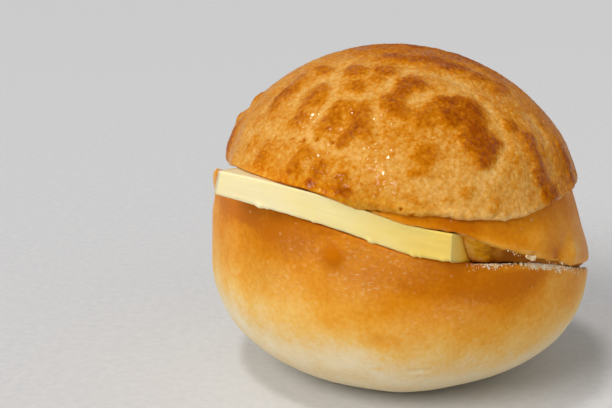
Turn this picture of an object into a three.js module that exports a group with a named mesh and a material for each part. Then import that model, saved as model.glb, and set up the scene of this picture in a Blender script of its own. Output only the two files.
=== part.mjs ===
import * as THREE from 'three';

// A pineapple bun: round bread under a baked sugar-dough crust, slit at a slant and filled with a
// slice of cold butter. Millimetres, +Z up, the side the butter slides in from faces -Y.

// Lower half of the bread
const bunRadius = 50;            // at the widest level
const widestHeight = 28.7;       // above the table
const underDepth = 30.7;         // from the widest level down to where the rounded underside would close
const underRadius = 7.2;         // flat middle of that rounded underside
const underOval = 0.012;         // the foot is a little longer front to back
const underPower = 2.2;
const neckHeight = 107;          // how slowly the wall draws in above the widest level
const footRings = 11;

// The slit: a plane that falls to the right and slightly to the back
const slitHeight = 38.8;         // at the middle of the bun
const slitSlopeX = -0.235;
const slitSlopeY = -0.15;
// both halves swell at the front right, the lower rim has a knob at the left
const rimSwell = { azimuth: -45, spread: 27, from: 36, to: 48, height: 2.4 };
const rimKnob = { azimuth: -171, spread: 13, from: 43, to: 48, height: 2 };
// the cut face gives along the butter's front edge and is dished under the butter
const rimPress = { x: 4, y: -48, spread: 15, depth: 1.8 };
const dish = { slope: 0.105, fadeFrom: 46, fadeTo: 88, left: -24, beyond: 12 };

// Butter slice
const butterLength = 55;
const butterDepth = 44;
const butterThickness = 6.85;
const butterThickest = 8;        // where it is so thick, along the front edge from its middle
const butterThinning = 0.0007;   // it thins by this per square mm away from there
const butterTurn = -8.8;         // degrees about Z, right end towards the front
const butterFrontX = -15.3;      // middle of the front edge
const butterFrontY = -47.4;
const butterLean = { left: 0.21, right: 0.02 };   // how far the cut ends lean over, per mm of height
const butterSkew = 0.38;         // the right end is cut askew, per mm of depth
const butterCorner = 0.7;        // rounding of the long edges

// Upper half of the bread, in its own level frame before the butter props it open
const topRadiusX = 50;
const topRadiusY = 51.6;
const topCentreHeight = 28;
const topRise = 50.3;            // from the widest level to the crown under the crust
const topDrop = 70;
const topPower = 1.95;
const propHinge = 44;            // height of the turning point
const propLeft = 7.4;            // degrees, left side up
const propFront = 5.6;           // degrees, front side up
const propLift = 4.3;
const slideX = 0.2;
const slideY = -2.9;
const slitClose = { left: 26, right: 18, power: 1.2 };   // it closes this far beyond the butter
const gapOver = 0.6;             // air over the butter

// Sugar crust
const crustThickness = 2.8;
const crustThinning = 0.2;       // it thins by this share towards its edge
const crustEdge = 62;            // polar angle of its edge, degrees from the crown
const crustEdgeFront = 8.7;      // it hangs lower at the front
const crustEdgeRight = -4;       // and stops higher at the right
const crustSag = { azimuth: -170, spread: 40, angle: 6 };
const crustOver = 0.3;           // air between its edge and the butter
const seat = 0.4;                // gap between pieces that lie on each other

// Dents and swellings of the dome: azimuth, polar angle, spread (degrees), height (mm)
const domeLumps = [
  [37, 27, 9, 0.6], [85, 14, 18, -0.7], [162, 46, 8, -0.5], [186, 78, 18, -5.8], [183, 66, 9, 2.2],
  [0, 86, 13, 1.8], [0, 68, 11, -1.5], [105, 88, 32, 2.8],
];

// Dents and swellings of the lower wall: azimuth, spread (degrees), height, spread up (mm), size (mm)
const wallLumps = [[-62, 14, 6, 12, -0.7], [-88, 10, 5, 12, 0.35], [-25, 12, 12, 14, 0.45]];

const columns = 56;
const crustRings = 14;
const bandRings = 5;
// rings of the cut faces, from the rim inwards
const faceShares = [0.99, 0.95, 0.9, 0.85, 0.79, 0.72, 0.62, 0.52, 0.42, 0.32, 0.22, 0.12];

const rad = (degrees) => (degrees * Math.PI) / 180;
const clamp = (x) => Math.min(1, Math.max(0, x));
const smooth = (from, to, x) => {
  const t = clamp((x - from) / (to - from));
  return t * t * (3 - 2 * t);
};
const bump = (distance, spread) => Math.exp(-((distance / spread) ** 2));
const wrap = (angle) => Math.atan2(Math.sin(angle), Math.cos(angle));
const azimuths = Array.from({ length: columns }, (_, i) => (2 * Math.PI * i) / columns);

// Butter coordinates: along its front edge, in from it
const butterAlong = [Math.cos(rad(butterTurn)), Math.sin(rad(butterTurn))];
const butterPlan = (along, inward) => [
  butterFrontX + along * butterAlong[0] - inward * butterAlong[1],
  butterFrontY + along * butterAlong[1] + inward * butterAlong[0],
];

// The same of any point, and how far it lies past the butter's right end
function butterFrame(x, y) {
  const dx = x - butterFrontX;
  const dy = y - butterFrontY;
  const along = dx * butterAlong[0] + dy * butterAlong[1];
  const inward = -dx * butterAlong[1] + dy * butterAlong[0];
  const past = along - butterLength / 2 - butterSkew * Math.max(0, inward);
  return { along, inward, past };
}

// A swelling of the rim
function rimRise(x, y, { azimuth, spread, from, to, height }) {
  const turn = wrap(Math.atan2(y, x) - rad(azimuth));
  return height * bump(turn, rad(spread)) * smooth(from, to, Math.hypot(x, y));
}

// Height of the slit's lower side
function slitFace(x, y) {
  const { along, inward, past } = butterFrame(x, y);
  const fall = dish.slope * Math.max(0, inward) * (1 - smooth(dish.fadeFrom, dish.fadeTo, inward));
  const under = smooth(dish.left, 0, along) * (1 - smooth(1, dish.beyond, past));
  const press = rimPress.depth * bump(Math.hypot(x - rimPress.x, y - rimPress.y), rimPress.spread);
  const plane = slitHeight + slitSlopeX * x + slitSlopeY * y;
  return plane + rimRise(x, y, rimSwell) - press - fall * under;
}

// Height of the cut face of the lower half, with its knob
const lowerFace = (x, y) => slitFace(x, y) + rimRise(x, y, rimKnob);

// Radius of the lower wall: a rounded underside, then a wall that draws in slowly
function wallRadius(z, azimuth) {
  const down = clamp((widestHeight - z) / underDepth);
  const up = Math.max(0, z - widestHeight) / neckHeight;
  const round = z < widestHeight
    ? underRadius + (bunRadius - underRadius) * Math.sqrt(1 - down ** underPower)
    : bunRadius * Math.sqrt(1 - up * up);
  const oval = 1 - underOval * Math.cos(2 * azimuth) * smooth(widestHeight, 0, z);
  const lumps = wallLumps.reduce((sum, [a, spread, height, tall, size]) =>
    sum + size * bump(wrap(azimuth - rad(a)), rad(spread)) * bump(z - height, tall), 0);
  return round * oval + lumps;
}

// Where the lower wall meets the slit in one direction
function lowerRim(azimuth) {
  let z = slitHeight;
  for (let i = 0; i < 60; i += 1) {
    const r = wallRadius(z, azimuth);
    z = 0.5 * (z + lowerFace(r * Math.cos(azimuth), r * Math.sin(azimuth)));
  }
  return z;
}

// Distance in plan from the butter
function butterDistance(x, y) {
  const { along, inward, past } = butterFrame(x, y);
  const aside = Math.max(0, -along - butterLength / 2, past);
  return Math.hypot(aside, Math.max(0, -inward, inward - butterDepth));
}

// Thickness of the butter at a place along its front edge
function butterTall(along) {
  const place = Math.min(butterLength / 2, Math.max(-butterLength / 2, along));
  return butterThickness - butterThinning * (place - butterThickest) ** 2;
}

// Underside of the upper half: it lies over the butter and comes down to the lower half beyond it
function upperFace(x, y, over = gapOver) {
  const { along } = butterFrame(x, y);
  const close = slitClose.left + (slitClose.right - slitClose.left) * smooth(-20, 20, along);
  const propped = Math.max(0, 1 - butterDistance(x, y) / close) ** slitClose.power;
  return slitFace(x, y) + seat + (butterTall(along) + over) * propped;
}

// A point of the dome, `out` mm outside the bread, turned and lifted as the butter props it
function domePoint(polar, azimuth, out) {
  const [sinP, cosP] = [Math.sin(polar), Math.cos(polar)];
  const [sinA, cosA] = [Math.sin(azimuth), Math.cos(azimuth)];
  const plan = 1 / Math.hypot(cosA / topRadiusX, sinA / topRadiusY);
  const height = cosP > 0 ? topRise : topDrop;
  const sum = (Math.abs(sinP) / plan) ** topPower + (Math.abs(cosP) / height) ** topPower;
  const lumps = domeLumps.reduce((total, [a, p, spread, high]) => {
    const near = Math.sin(rad(p)) * sinP * Math.cos(azimuth - rad(a)) + Math.cos(rad(p)) * cosP;
    return total + high * bump(Math.acos(Math.min(1, near)), rad(spread));
  }, 0);
  const r = sum ** (-1 / topPower) + lumps + out;
  return new THREE.Vector3(r * sinP * cosA, r * sinP * sinA, topCentreHeight + r * cosP - propHinge)
    .applyAxisAngle(new THREE.Vector3(0, 1, 0), rad(propLeft))
    .applyAxisAngle(new THREE.Vector3(1, 0, 0), -rad(propFront))
    .add(new THREE.Vector3(slideX, slideY, propHinge + propLift));
}

// Polar angle at which the dome, or a skin `out` mm outside it, reaches the underside
function lipAngle(azimuth, out = 0, over = gapOver) {
  let [inside, outside] = [rad(40), rad(125)];
  for (let i = 0; i < 40; i += 1) {
    const middle = (inside + outside) / 2;
    const p = domePoint(middle, azimuth, out);
    if (p.z > upperFace(p.x, p.y, over)) inside = middle;
    else outside = middle;
  }
  return inside;
}

// Polar angle of the crust's edge; where the slit runs through the crust it ends at the slit
function crustAngle(azimuth, out = 0) {
  const hang = crustEdgeFront * Math.cos(azimuth + Math.PI / 2) + crustEdgeRight * Math.cos(azimuth);
  const sag = crustSag.angle * bump(wrap(azimuth - rad(crustSag.azimuth)), rad(crustSag.spread));
  return Math.min(rad(crustEdge + hang + sag), lipAngle(azimuth, out, crustOver));
}

// One closed body from rings of points, the first and last ring drawn together to a pole
function closedSurface(rings) {
  const points = [rings[0][0], ...rings.slice(1, -1).flat(), rings.at(-1)[0]];
  const count = rings[1].length;
  const index = [];
  const at = (ring, i) => 1 + (ring - 1) * count + (i % count);
  for (let i = 0; i < count; i += 1) {
    index.push(0, at(1, i + 1), at(1, i));
    index.push(points.length - 1, at(rings.length - 2, i), at(rings.length - 2, i + 1));
    for (let ring = 1; ring < rings.length - 2; ring += 1) {
      const [a, b, c, d] = [at(ring, i), at(ring, i + 1), at(ring + 1, i + 1), at(ring + 1, i)];
      index.push(a, b, c, a, c, d);
    }
  }
  const geometry = new THREE.BufferGeometry().setFromPoints(points);
  geometry.setIndex(index);
  geometry.computeVertexNormals();
  return geometry;
}

function baseGeometry() {
  const rims = azimuths.map(lowerRim);
  const ring = (height, shrink) => azimuths.map((azimuth, i) => {
    const r = wallRadius(height(rims[i]), azimuth) * shrink;
    return new THREE.Vector3(r * Math.cos(azimuth), r * Math.sin(azimuth), height(rims[i]));
  });
  const face = (share) => azimuths.map((azimuth, i) => {
    const r = wallRadius(rims[i], azimuth) * share;
    const [x, y] = [r * Math.cos(azimuth), r * Math.sin(azimuth)];
    return new THREE.Vector3(x, y, lowerFace(x, y));
  });
  const rings = [[new THREE.Vector3(0, 0, 0)], ring(() => 0, 0.55)];
  for (let i = 0; i <= footRings; i += 1) {
    const rise = 1 - Math.cos((Math.PI / 2) * (i / footRings));
    rings.push(ring((rim) => (rim - 0.5) * rise, 1));
  }
  rings.push(...faceShares.map(face), [new THREE.Vector3(0, 0, slitFace(0, 0))]);
  return closedSurface(rings);
}

function topGeometry() {
  const lips = azimuths.map((azimuth) => lipAngle(azimuth));
  const edges = azimuths.map((azimuth, i) => Math.min(crustAngle(azimuth), lips[i] - rad(0.9)));
  const shell = (angle) => azimuths.map((azimuth, i) => domePoint(angle(i), azimuth, 0));
  const crown = domePoint(0, 0, 0);
  const rings = [[crown]];
  for (let k = 1; k <= crustRings; k += 1) rings.push(shell((i) => (edges[i] * k) / crustRings));
  for (let k = 1; k <= bandRings; k += 1) {
    rings.push(shell((i) => edges[i] + ((lips[i] - rad(0.5) - edges[i]) * k) / bandRings));
  }
  const lip = shell((i) => lips[i]);
  for (const share of faceShares) {
    rings.push(lip.map((p) => {
      const [x, y] = [crown.x + (p.x - crown.x) * share, crown.y + (p.y - crown.y) * share];
      return new THREE.Vector3(x, y, upperFace(x, y));
    }));
  }
  rings.push([new THREE.Vector3(crown.x, crown.y, upperFace(crown.x, crown.y))]);
  return closedSurface(rings.reverse());
}

function crustGeometry() {
  const shell = (share, level) => {
    const out = seat + level * crustThickness * (1 - crustThinning * smooth(0.8, 1, share));
    return azimuths.map((azimuth) => domePoint(crustAngle(azimuth, out) * share, azimuth, out));
  };
  const rings = [[domePoint(0, 0, seat)]];
  for (let k = 1; k <= crustRings; k += 1) rings.push(shell(k / crustRings, 0));
  rings.push(shell(1, 0.5), shell(0.988, 0.87));
  for (let k = crustRings - 0.4; k > 0.5; k -= 1) rings.push(shell(k / crustRings, 1));
  rings.push([domePoint(0, 0, seat + crustThickness)]);
  return closedSurface(rings);
}

function butterGeometry() {
  const depths = [0, 4, 10, 18, 27, 36, butterDepth];
  const c = butterCorner;
  const t = butterThickness;
  // cross-section along the underside from the front, up the back, over the top and down the front
  const section = [
    [0, c], [c, 0], ...depths.slice(1, -1).map((d) => [d, 0]), [butterDepth - c, 0], [butterDepth, c],
    [butterDepth, t - c], [butterDepth - c, t], ...depths.slice(1, -1).reverse().map((d) => [d, t]),
    [c, t], [0, t - c],
  ];
  const place = (along, inward, level) => {
    const up = (level * butterTall(along)) / t;
    const side = 2 * along / butterLength;
    const lean = side < 0 ? -side * butterLean.left : side * butterLean.right;
    const skew = butterSkew * inward * clamp(0.5 + along / butterLength);
    const [x, y] = butterPlan(along + lean * up + skew, inward);
    return new THREE.Vector3(x, y, slitFace(x, y) + seat + up);
  };
  const half = butterLength / 2;
  const stations = [-half, -half + 0.5];
  for (let k = 1; k < 12; k += 1) stations.push(-half + (butterLength * k) / 12);
  stations.push(half - 0.5, half);
  const inset = (station) => (Math.abs(station) > half - 0.1 ? 0.5 : 0);
  const loop = (station) => section.map(([d, z]) => place(station,
    Math.min(butterDepth - inset(station), Math.max(inset(station), d)),
    Math.min(t - inset(station), Math.max(inset(station), z))));
  const middle = (station) => [place(station, butterDepth / 2, t / 2)];
  return closedSurface([middle(-half), ...stations.map(loop), middle(half)]);
}

function piece(name, geometry, color, roughness) {
  const mesh = new THREE.Mesh(geometry, new THREE.MeshStandardMaterial({ color, roughness, metalness: 0 }));
  mesh.name = name;
  return mesh;
}

const group = new THREE.Group();
group.name = 'pineapple_bun';
group.add(
  piece('bun_base', baseGeometry(), '#c98a35', 0.55),
  piece('bun_top', topGeometry(), '#c0812f', 0.55),
  piece('sugar_crust', crustGeometry(), '#c98f46', 0.7),
  piece('butter_slab', butterGeometry(), '#f0dc93', 0.35),
);

// Stand the whole on the origin
const size = new THREE.Box3().setFromObject(group);
const middle = size.getCenter(new THREE.Vector3());
for (const mesh of group.children) mesh.geometry.translate(-middle.x, -middle.y, -size.min.z);

export default group;
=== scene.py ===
import functools
import itertools
import math

import bpy
import numpy as np
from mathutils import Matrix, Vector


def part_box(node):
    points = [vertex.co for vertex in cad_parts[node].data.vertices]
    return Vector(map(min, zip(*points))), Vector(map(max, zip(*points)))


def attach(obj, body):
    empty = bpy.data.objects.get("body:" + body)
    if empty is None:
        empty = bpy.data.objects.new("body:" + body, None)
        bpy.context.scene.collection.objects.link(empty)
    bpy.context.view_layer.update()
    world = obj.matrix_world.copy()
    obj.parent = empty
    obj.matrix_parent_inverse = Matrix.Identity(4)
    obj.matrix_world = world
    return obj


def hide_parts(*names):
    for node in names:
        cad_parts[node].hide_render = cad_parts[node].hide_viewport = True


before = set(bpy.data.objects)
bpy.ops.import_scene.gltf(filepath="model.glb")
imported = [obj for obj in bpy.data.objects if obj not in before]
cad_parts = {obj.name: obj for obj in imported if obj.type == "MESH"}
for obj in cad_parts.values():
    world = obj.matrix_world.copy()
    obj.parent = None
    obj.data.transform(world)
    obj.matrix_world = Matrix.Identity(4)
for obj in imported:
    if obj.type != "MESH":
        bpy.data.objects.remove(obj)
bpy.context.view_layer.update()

# A pineapple bun with a slice of butter. Shapes are worked out in millimetres about the bun's own axis and
# shifted onto the frame. Azimuths run from +X towards +Y, polar angles from the crown; tables give degrees.
baseLow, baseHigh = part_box("bun_base")
shift = np.array([(baseLow.x + baseHigh.x) / 2, (baseLow.y + baseHigh.y) / 2, baseLow.z])
rad = np.radians
girth = 50  # radius of the bun in mm, which turns an angle round it into a length
domeRadius = 53  # the same for the crust


def bell(distance, spread):  # 1 in the middle, fading to 0
    return np.exp(-(distance / spread) ** 2)


def eased(low, high, x):  # 0 below low, 1 above high, smooth between
    t = np.clip((x - low) / (high - low), 0, 1)
    return t * t * (3 - 2 * t)


def wrapped(angle):  # the same angle between -pi and pi
    return np.arctan2(np.sin(angle), np.cos(angle))


def around(azimuth, middle, spread):  # a bell round an azimuth, middle and spread in degrees
    return bell(wrapped(azimuth - rad(middle)), rad(spread))


def withBells(ground, azimuth, bells):  # adds a bell for each azimuth, spread and size
    for middle, spread, size in bells:
        ground = ground + size * around(azimuth, middle, spread)
    return ground


def pointing(a, p):  # unit vectors for azimuths and polar angles
    return np.stack([np.sin(p) * np.cos(a), np.sin(p) * np.sin(a), np.cos(p) * np.ones_like(a)], -1)


def heading(azimuth, polar):  # the same for degrees
    return pointing(rad(azimuth), rad(polar))


def length(vectors):
    return np.linalg.norm(vectors, axis=-1)


def rotated(x, y, angle):  # from x towards y by the angle in degrees
    c, s = math.cos(rad(angle)), math.sin(rad(angle))
    return x * c - y * s, x * s + y * c


def latticeIndex(cell):  # where the corner of a cell is in a table that repeats every 32 cells
    return tuple(np.moveaxis(cell.astype(int) % 32, -1, 0))


def grain(points, size, seed):
    # gradient noise, about -1 to 1: lattice points `size` apart each hold a random direction, and a point
    # takes the eased mean of its eight neighbours' directions times its offset from them
    table = np.random.default_rng(seed).normal(size=(32, 32, 32, 3))
    table /= length(table)[..., None]
    cell = points / size + 7.3 * seed
    low = np.floor(cell)
    part = cell - low
    ease = part ** 3 * (part * (part * 6 - 15) + 10)
    total = np.zeros(points.shape[:-1])
    for corner in itertools.product((0, 1), repeat=3):
        weight = np.prod(np.where(corner, ease, 1 - ease), axis=-1)
        total += weight * np.sum(table[latticeIndex(low + corner)] * (part - corner), axis=-1)
    return 1.6 * total


def layered(points, size, seed, layers=3):  # grain at size, half of it, a quarter, each half as strong
    return sum(grain(points, size / 2 ** k, seed + k) / 2 ** k for k in range(layers))


def swells(points, waves):  # layered grain for each height, size, seed and number of layers
    return sum(height * layered(points, size, seed, layers) for height, size, seed, layers in waves)


def holes(points, size, seed):
    # distance to the nearest of one random point per cell, in cells: 0 in the middle of a hole
    table = np.random.default_rng(seed).uniform(0.1, 0.9, (32, 32, 32, 3))
    cell = points / size + 3.1 * seed
    nearest = np.full(points.shape[:-1], 9.0)
    for step in itertools.product((-1, 0, 1), repeat=3):
        index = np.floor(cell) + step
        nearest = np.minimum(nearest, length(cell - (index + table[latticeIndex(index)])))
    return nearest


def ringNumber(rings):  # of every point
    return np.arange(len(rings))[:, None] * np.ones(rings.shape[1])


def normalsOf(rings):  # cross product of the steps round a ring and from ring to ring
    across = np.roll(rings, -1, axis=1) - np.roll(rings, 1, axis=1)
    normals = np.cross(across, np.gradient(rings, axis=0))
    return normals / (length(normals)[..., None] + 1e-12)


def newObject(name, data):
    made = bpy.data.objects.new(name, data)
    bpy.context.scene.collection.objects.link(made)
    return made


def meshPiece(name, points, faces, material, values=None):
    mesh = bpy.data.meshes.new(name)
    mesh.vertices.add(len(points))
    mesh.vertices.foreach_set("co", (points * 0.001 + shift).astype(np.float32).ravel())
    mesh.loops.add(sum(face.size for face in faces))
    mesh.loops.foreach_set("vertex_index", np.concatenate([face.ravel() for face in faces]).astype(np.int32))
    sizes = np.concatenate([np.full(len(face), face.shape[1]) for face in faces])
    mesh.polygons.add(len(sizes))
    mesh.polygons.foreach_set("loop_start", np.concatenate([[0], np.cumsum(sizes)[:-1]]).astype(np.int32))
    mesh.update(calc_edges=True)
    mesh.validate()
    mesh.shade_smooth()
    for label, value in (values or {}).items():
        layer = mesh.attributes.new(label, "FLOAT", "POINT")
        layer.data.foreach_set("value", value.astype(np.float32).ravel())
    mesh.materials.append(material)
    return newObject(name, mesh)


def wrapping(count, columns):  # quads between rings of points, and triangles to a pole at each end
    number = np.arange(count * columns).reshape(count, columns)
    beside = np.roll(number, -1, axis=1)
    quads = np.stack([number[:-1], beside[:-1], beside[1:], number[1:]], -1).reshape(-1, 4)
    pole = np.full(columns, count * columns)
    caps = np.concatenate([np.stack([pole, beside[0], number[0]], -1),
                           np.stack([pole + 1, number[-1], beside[-1]], -1)])
    return [quads, caps]


def closedPiece(name, rings, material, values):
    # rings of points from the lowest or innermost to the last, each end drawn together to a pole
    points = np.concatenate([rings.reshape(-1, 3), rings[:1].mean(axis=1), rings[-1:].mean(axis=1)])
    ends = {k: np.concatenate([v.ravel(), [v[0].mean(), v[-1].mean()]]) for k, v in values.items()}
    return meshPiece(name, points, wrapping(*rings.shape[:2]), material, ends)


def cornerRings(below, corner, beyond, count=9):  # a rounded corner: a quadratic curve pulled by the corner
    t = ((np.arange(count) + 0.5) / count)[:, None, None]
    return (1 - t) ** 2 * below + 2 * t * (1 - t) * corner + t ** 2 * beyond


def faceShares(count):  # rings of a cut face as shares of its radius, closest together near the rim
    k = np.arange(count)
    inward = 1.2 + 0.45 * k * (1 + 0.03 * k) ** 0.8
    return np.concatenate([1 - inward[inward < 42] / girth, [0.1, 0.04, 0.004]])


lowerHalf = {
    "radius": 50,  # at the widest level
    "widest": 28.7,  # height of that level
    "underDepth": 30.7,  # from there down to where the round underside would close
    "underRadius": 7.2,
    "underOval": 0.012,  # the foot is a little longer front to back
    "underPower": 2.2,
    "neck": 107,  # how slowly the wall draws in above the widest level
    "lumps": [(-62, 14, 6, 12, -0.7), (-88, 10, 5, 12, 0.35), (-25, 12, 12, 14, 0.45)],
    # dimples, blisters and wrinkles of the skin: azimuth, height, half width, half height, size in mm
    "marks": [(-107, 42.3, 2.6, 2.4, 0.7), (-94, 22.7, 1.6, 1.1, -0.3), (-83, 14.6, 3.2, 0.5, -0.3),
              (-102.5, 45.6, 1.1, 2.2, 0.3), (-128, 33, 5, 3, -0.18), (-75, 33, 6, 3, 0.2),
              (-150, 27, 5, 4, 0.2), (-52, 27, 5, 5, -0.2), (-173, 51, 4, 2.4, 0.45), (-171, 46, 5, 2, -0.5),
              (40, 30, 7, 5, 0.3), (100, 20, 6, 3, -0.3), (165, 33, 8, 5, 0.3)],
    # browner or paler places, among them painted shade under the butter's left end and a painted sheen just
    # below the front rim: the same, and how much
    "stainsShadeAndSheen": [(-107, 42.3, 2.9, 2.8, 0.16), (-139, 47.5, 5.5, 1.6, 0.22), (-94, 23, 6, 2.2, 0.12),
               (-95, 15, 1.6, 0.7, 0.14), (-83.5, 14, 2.2, 0.6, -0.16), (-101, 42.5, 16, 6, -0.1),
               (-84, 43, 8, 3, -0.05), (-140, 33, 12, 9, 0.05), (-165, 46, 8, 4, -0.18),
               (-172, 51, 7, 4, -0.45), (-124, 40, 6, 3, 0.06), (-55, 40, 6, 2, -0.12),
               (-66, 35, 9, 2.5, 0.05), (-38, 34.5, 8, 3.5, -0.2), (50, 34, 9, 4, 0.1), (120, 28, 8, 4, -0.1),
               (-10, 30, 6, 4, 0.08)],
    # where butter was smeared on the skin, with a painted sheen round it at the front: the same, and how
    # thickly
    "smearsAndSheen": [(-98, 42, 15, 6, 0.6), (-118, 43, 6, 5, 0.4), (-107, 42.3, 3, 2.9, -0.6),
               (-101, 36, 7, 4, 0.7), (-122, 34, 7, 4, 0.7), (-74, 30, 8, 4, 0.6), (-86, 25, 6, 5, 0.5),
               (70, 33, 9, 5, 0.7), (170, 38, 9, 5, 0.6)],
    "flatTopped": 1.6,  # stains and smears have a flat middle
    "skin": [(0.16, 16, 31, 2), (0.035, 2.4, 32, 2)],  # swells: height and size in mm, seed, layers
    "stray": [(2.6, 18, 41, 2)],  # the same, of the line between pale and brown
    "baked": (0.12, 0.76, 0.12),  # browning at the foot, added above, added at the rim
    "sink": 0.15,  # the soft crumb lies this much lower beside the butter
    "meet": 0.3,  # and under the butter it rises by this to meet it
    # round the bun at these azimuths: up to which height the skin is pale, and from which it is brown
    "azimuths": [-180, -158, -136, -111, -89, -67, -38, -10, 30, 90, 140, 180],
    "paleTop": [20, 19.5, 18.6, 15, 12, 11, 14, 15, 14, 16, 18, 20],
    "brownFrom": [50, 49, 47, 42, 37, 32, 38, 40, 40, 44, 48, 50],
    "tornMost": (-46, 15),  # azimuth and spread of the torn rim
    "tornLeast": (-171, 14),
    "bottomRings": (0.01, 0.2, 0.4, 0.6, 0.8, 0.93),
    "wallRings": 112,
    "columns": 580,
}
slit = {
    "height": 38.8,  # of the cut through the middle
    "slopeX": -0.235,
    "slopeY": -0.15,
    "swell": (-45, 27, 36, 48, 2.4),  # azimuth, spread, from radius, to radius, height
    "knob": (-171, 13, 43, 48, 2.0),  # the same for a knob of the lower rim left of the butter
    "press": (4, -48, 15, 1.8),  # x, y, spread, depth of the dent the butter makes in the rim
    "dish": (0.105, 46, 88, 12),  # fall per mm in from the rim, where it fades out, how far past the butter
    "seat": 0.4,  # gap between things that lie on each other
    "clear": 0.6,  # air over the butter
    "closeLeft": 26,  # the slit closes this far beyond the butter
    "closeRight": 18,
    "closePower": 1.2,
    "pore": 1.7,  # spacing of the crumb's pores
    "poreDepth": 0.55,
    "tear": 0.5,  # how far the torn rims wander
}
butter = {
    "length": 55,
    "depth": 44,
    "thickness": 6.85,
    "thickest": 8,  # where along the front edge
    "thinning": 0.0007,  # by this per square mm away from there
    "turn": -8.8,  # about Z, right end towards the front
    "front": (-15.3, -47.4),  # middle of the front edge
    "lean": (0.21, 0.02),  # how far the left and right ends lean over
    "skew": 0.38,  # the right end is cut askew, per mm of depth
    "corner": 0.55,
    # burrs the knife left along the lower front edge: place along it, spread, size
    "burrs": [(-16.6, 0.9, 0.55), (-14.9, 0.5, 0.25), (9.3, 0.8, 0.5), (18.9, 0.7, 0.45), (20.4, 0.4, 0.3),
              (-4, 0.5, 0.2), (25.5, 0.5, 0.25)],
    "streak": 0.04,  # depth of the knife's drag lines
    "streaks": ((12, 3, 0.55), (5, 2, 0.3)),  # length, width and height in mm of the long and the short ones
    "waves": [(0.12, 11, 103, 1), (0.04, 3, 104, 1)],  # swells: height and size in mm, seed, layers
    # the last, on the right end face deepening inwards, is painted shade of the slit
    "deeper": (0.5, 0.12, 0.45),  # yellow: towards the right, near its end, and on the end face
    "columns": 230,
}
upperHalf = {
    "radiusX": 50,
    "radiusY": 51.6,
    "centre": 28,  # height of its widest level before the butter props it open
    "rise": 50.3,
    "drop": 70,
    "power": 1.95,
    "hinge": 44,  # height of the point it tips about
    "leanLeft": 7.4,  # left side up
    "leanFront": 5.6,  # front side up
    "lift": (0.2, -2.9, 4.3),
    # azimuth, polar angle, spread, height
    "lumps": [(37, 27, 9, 0.6), (85, 14, 18, -0.7), (162, 46, 8, -0.5), (186, 78, 18, -5.8),
              (183, 66, 9, 2.2), (0, 86, 13, 1.8), (0, 68, 11, -1.5), (105, 88, 32, 2.8)],
    # folds of the lip, small enough for the skin alone
    "folds": [(-30, 80.5, 3.6, 1.1), (-38.5, 81, 2.6, -0.9), (-33, 76, 3, -0.5), (-52, 84, 4, 0.3),
              (-66, 80, 4, -0.3), (-47, 76, 5, 0.4)],
    "tuck": (-103, 19, 2.3),  # over the butter it draws in: azimuth, spread, mm
    "tuckDown": 0.18,  # and comes down by this share
    "tears": [(-50, 4, 1), (-154, 9, 1)],  # of the lip: azimuth, spread, strength
    # the darker place at -73, under the crust's edge over the butter's end, is painted shade
    "browner": [(-88, 16, 0.10), (-73, 5, 0.32)],  # places of the band: azimuth, spread, how much
    # the dark one is painted shade in the crease of the fold at the right, the pale one a painted highlight
    # on its flap
    "spots": [(-39, 2.5, 0.3, 1, 2), (-27, 7, -0.2, 3, 3)],  # the same, mm up from the lip, spread
    "skin": [(0.10, 12, 33, 2), (0.03, 2.2, 34, 2)],
    "sag": 0.52,  # the lip sags this much onto the butter
    "shut": 0.22,  # and right of it the halves come this much nearer than the seat
    "brown": 0.80,  # of the bare band, 0 to 1
    "bandRings": 54,
    "skinRadius": 52,  # mm, turns an angle on the bare band into a length
    "columns": 580,
}
crust = {
    "thickness": 2.8,
    "thinning": 0.2,  # towards its edge
    "thinner": (-50, 28, 0.4),  # and by more at the front right: azimuth, spread, share
    "edge": 62,  # polar angle of its edge
    "edgeFront": 8.7,  # it hangs lower at the front
    "edgeRight": -4,  # and stops higher at the right
    "sags": [(-170, 40, 6), (-61, 13, 1.9)],
    "pressed": (-105, 11, 1.5),  # on the butter its outside is pushed up: azimuth, spread, degrees
    "clear": -0.12,  # and it sinks into the butter by as much
    "round": 1.6,  # rounding of its edge in mm
    "rounder": [(-125, 28, -0.65), (-178, 16, 1)],  # sharper and rounder places: azimuth, spread, share
    "wander": 0.6,  # how far the edge strays, in degrees
    "columns": 560,
    "rings": 150,
}


def rimRise(x, y, shape):  # a swelling of the rim
    azimuth, spread, start, end, height = shape
    return height * around(np.arctan2(y, x), azimuth, spread) * eased(start, end, np.hypot(x, y))


def slitFace(x, y):
    # a slanting plane, swollen at the front right, pressed down along the butter and dished under it
    px, py, reach, depth = slit["press"]
    along, inward, past = butterFrame(x, y)
    slope, fade, end, beyond = slit["dish"]
    dish = slope * np.maximum(0, inward) * (1 - eased(fade, end, inward))
    dish = dish * eased(-24, 0, along) * (1 - eased(1, beyond, past))
    plane = slit["height"] + slit["slopeX"] * x + slit["slopeY"] * y
    return plane + rimRise(x, y, slit["swell"]) - depth * bell(np.hypot(x - px, y - py), reach) - dish


def lowerFace(x, y):
    return slitFace(x, y) + rimRise(x, y, slit["knob"])


def wallRadius(z, azimuth):  # superellipse under the widest level, a flat ellipse over it, plus its lumps
    h = lowerHalf
    down = np.clip((h["widest"] - z) / h["underDepth"], 0, 1)
    up = np.maximum(0, z - h["widest"]) / h["neck"]
    under = h["underRadius"] + (h["radius"] - h["underRadius"]) * np.sqrt(1 - down ** h["underPower"])
    radius = np.where(z < h["widest"], under, h["radius"] * np.sqrt(1 - up ** 2))
    oval = 1 - h["underOval"] * np.cos(2 * azimuth) * eased(-h["widest"], 0, -z)
    lumps = sum(size * around(azimuth, middle, spread) * bell(z - height, tall)
                for middle, spread, height, tall, size in h["lumps"])
    return radius * oval + lumps


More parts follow.
